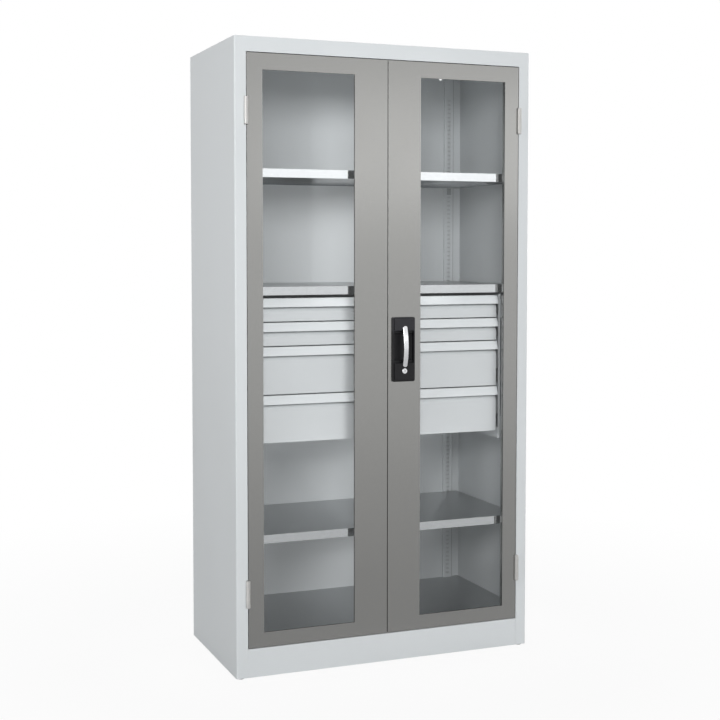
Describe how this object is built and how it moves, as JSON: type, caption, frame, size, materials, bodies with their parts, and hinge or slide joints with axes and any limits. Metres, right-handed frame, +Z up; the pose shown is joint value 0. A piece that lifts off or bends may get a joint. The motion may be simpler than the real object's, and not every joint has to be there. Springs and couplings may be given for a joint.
{
  "type": "storage cabinet",
  "caption": "Tall free-standing sheet-steel storage cabinet with hinged glazed doors, shelves on slotted uprights, full-width drawers and a turning handle with a rod lock.",
  "frame": {"origin": "on the floor, below the middle of the carcass's footprint", "axes": "+Z up, +X to the right seen from the front, the doors face -Y"},
  "size_m": [1, 0.529, 1.95],
  "materials": {
    "body_paint": "light grey powder coat",
    "drawer_paint": "light grey powder coat",
    "door_paint": "warm grey powder coat",
    "galvanised": "bright galvanised sheet",
    "clear_pane": "clear, polished",
    "zinc_steel": "zinc plated",
    "hinge_nickel": "matt nickel plated",
    "black_plastic": "fine moulded grain",
    "satin_metal": "satin",
    "white_nylon": "matt"
  },
  "bodies": {
    "carcass": {"left_side_panel": "body_paint", "right_side_panel": "body_paint", "top_panel": "body_paint", "back_panel": "body_paint", "plinth": "body_paint", "base_deck": "galvanised", "deck_angles": "body_paint", "corner_plates": "body_paint", "floor_glides": "black_plastic", "front_left_upright": "body_paint", "front_right_upright": "body_paint", "rear_left_upright": "body_paint", "rear_right_upright": "body_paint", "upper_shelf": "galvanised", "middle_shelf": "galvanised", "lower_shelf": "galvanised", "shelf_clips": "zinc_steel", "left_runner_carrier": "body_paint", "right_runner_carrier": "body_paint", "carrier_brackets": "body_paint", "carrier_screws": "zinc_steel", "outer_runners": "zinc_steel", "frame_hinge_knuckles": "hinge_nickel", "hinge_pins": "hinge_nickel", "rod_keepers": "white_nylon"},
    "left_door": {"left_door_skin": "door_paint", "left_pane": "clear_pane", "left_glazing_beads": "door_paint", "left_door_knuckles": "hinge_nickel"},
    "right_door": {"right_door_skin": "door_paint", "right_pane": "clear_pane", "right_glazing_beads": "door_paint", "right_door_knuckles": "hinge_nickel", "handle_plate": "black_plastic", "handle_screws": "zinc_steel", "rod_guides": "zinc_steel", "lock_cover": "zinc_steel", "cylinder_housing": "satin_metal"},
    "lever": {"handle_bow": "satin_metal", "handle_spindle": "zinc_steel", "lock_cam": "zinc_steel"},
    "upper_rod": {"upper_lock_rod": "zinc_steel"},
    "lower_rod": {"lower_lock_rod": "zinc_steel"},
    "key": {"key_plug": "satin_metal"},
    "drawer_1": {"drawer_1_front": "drawer_paint", "drawer_1_tray": "drawer_paint", "drawer_1_inner_runners": "zinc_steel"},
    "drawer_1_mid": {"drawer_1_mid_runners": "zinc_steel"},
    "drawer_2": {"drawer_2_front": "drawer_paint", "drawer_2_tray": "drawer_paint", "drawer_2_inner_runners": "zinc_steel"},
    "drawer_2_mid": {"drawer_2_mid_runners": "zinc_steel"},
    "drawer_3": {"drawer_3_front": "drawer_paint", "drawer_3_tray": "drawer_paint", "drawer_3_inner_runners": "zinc_steel"},
    "drawer_3_mid": {"drawer_3_mid_runners": "zinc_steel"},
    "drawer_4": {"drawer_4_front": "drawer_paint", "drawer_4_tray": "drawer_paint", "drawer_4_inner_runners": "zinc_steel"},
    "drawer_4_mid": {"drawer_4_mid_runners": "zinc_steel"}
  },
  "joints": [
    {"name": "left_door_swing", "type": "hinge", "parent": "carcass", "child": "left_door", "pos_m": [-0.463, -0.254, 0.9983], "axis": [0, 0, -1], "range_deg": [0, 180]},
    {"name": "right_door_swing", "type": "hinge", "parent": "carcass", "child": "right_door", "pos_m": [0.463, -0.254, 0.9983], "axis": [0, 0, 1], "range_deg": [0, 180]},
    {"name": "lever_turn", "type": "hinge", "parent": "right_door", "child": "lever", "pos_m": [0.0525, -0.264, 1.064], "axis": [0, -1, 0], "range_deg": [0, 90]},
    {"name": "upper_rod_slide", "type": "slide", "parent": "right_door", "child": "upper_rod", "axis": [0, 0, 1], "range_m": [0, 0.019]},
    {"name": "lower_rod_slide", "type": "slide", "parent": "right_door", "child": "lower_rod", "axis": [0, 0, -1], "range_m": [0, 0.019]},
    {"name": "key_turn", "type": "hinge", "parent": "right_door", "child": "key", "pos_m": [0.0525, -0.266, 0.93], "axis": [0, -1, 0], "range_deg": [0, 90]},
    {"name": "drawer_1_slide", "type": "slide", "parent": "carcass", "child": "drawer_1", "axis": [0, -1, 0], "range_m": [0, 0.4]},
    {"name": "drawer_1_mid_slide", "type": "slide", "parent": "carcass", "child": "drawer_1_mid", "axis": [0, -1, 0], "range_m": [0, 0.2]},
    {"name": "drawer_2_slide", "type": "slide", "parent": "carcass", "child": "drawer_2", "axis": [0, -1, 0], "range_m": [0, 0.4]},
    {"name": "drawer_2_mid_slide", "type": "slide", "parent": "carcass", "child": "drawer_2_mid", "axis": [0, -1, 0], "range_m": [0, 0.2]},
    {"name": "drawer_3_slide", "type": "slide", "parent": "carcass", "child": "drawer_3", "axis": [0, -1, 0], "range_m": [0, 0.4]},
    {"name": "drawer_3_mid_slide", "type": "slide", "parent": "carcass", "child": "drawer_3_mid", "axis": [0, -1, 0], "range_m": [0, 0.2]},
    {"name": "drawer_4_slide", "type": "slide", "parent": "carcass", "child": "drawer_4", "axis": [0, -1, 0], "range_m": [0, 0.4]},
    {"name": "drawer_4_mid_slide", "type": "slide", "parent": "carcass", "child": "drawer_4_mid", "axis": [0, -1, 0], "range_m": [0, 0.2]}
  ],
  "couplings": [
    {"joint": "right_door_swing", "follows": "left_door_swing", "ratio": 1},
    {"joint": "upper_rod_slide", "follows": "lever_turn", "m_per_rad": 0.011974},
    {"joint": "lower_rod_slide", "follows": "lever_turn", "m_per_rad": 0.011974},
    {"joint": "drawer_1_slide", "follows": "left_door_swing", "m_per_rad": 0.03},
    {"joint": "drawer_1_mid_slide", "follows": "left_door_swing", "m_per_rad": 0.015},
    {"joint": "drawer_2_slide", "follows": "left_door_swing", "m_per_rad": 0.04},
    {"joint": "drawer_2_mid_slide", "follows": "left_door_swing", "m_per_rad": 0.02},
    {"joint": "drawer_3_slide", "follows": "left_door_swing", "m_per_rad": 0.05},
    {"joint": "drawer_3_mid_slide", "follows": "left_door_swing", "m_per_rad": 0.025},
    {"joint": "drawer_4_slide", "follows": "left_door_swing", "m_per_rad": 0.06},
    {"joint": "drawer_4_mid_slide", "follows": "left_door_swing", "m_per_rad": 0.03}
  ]
}
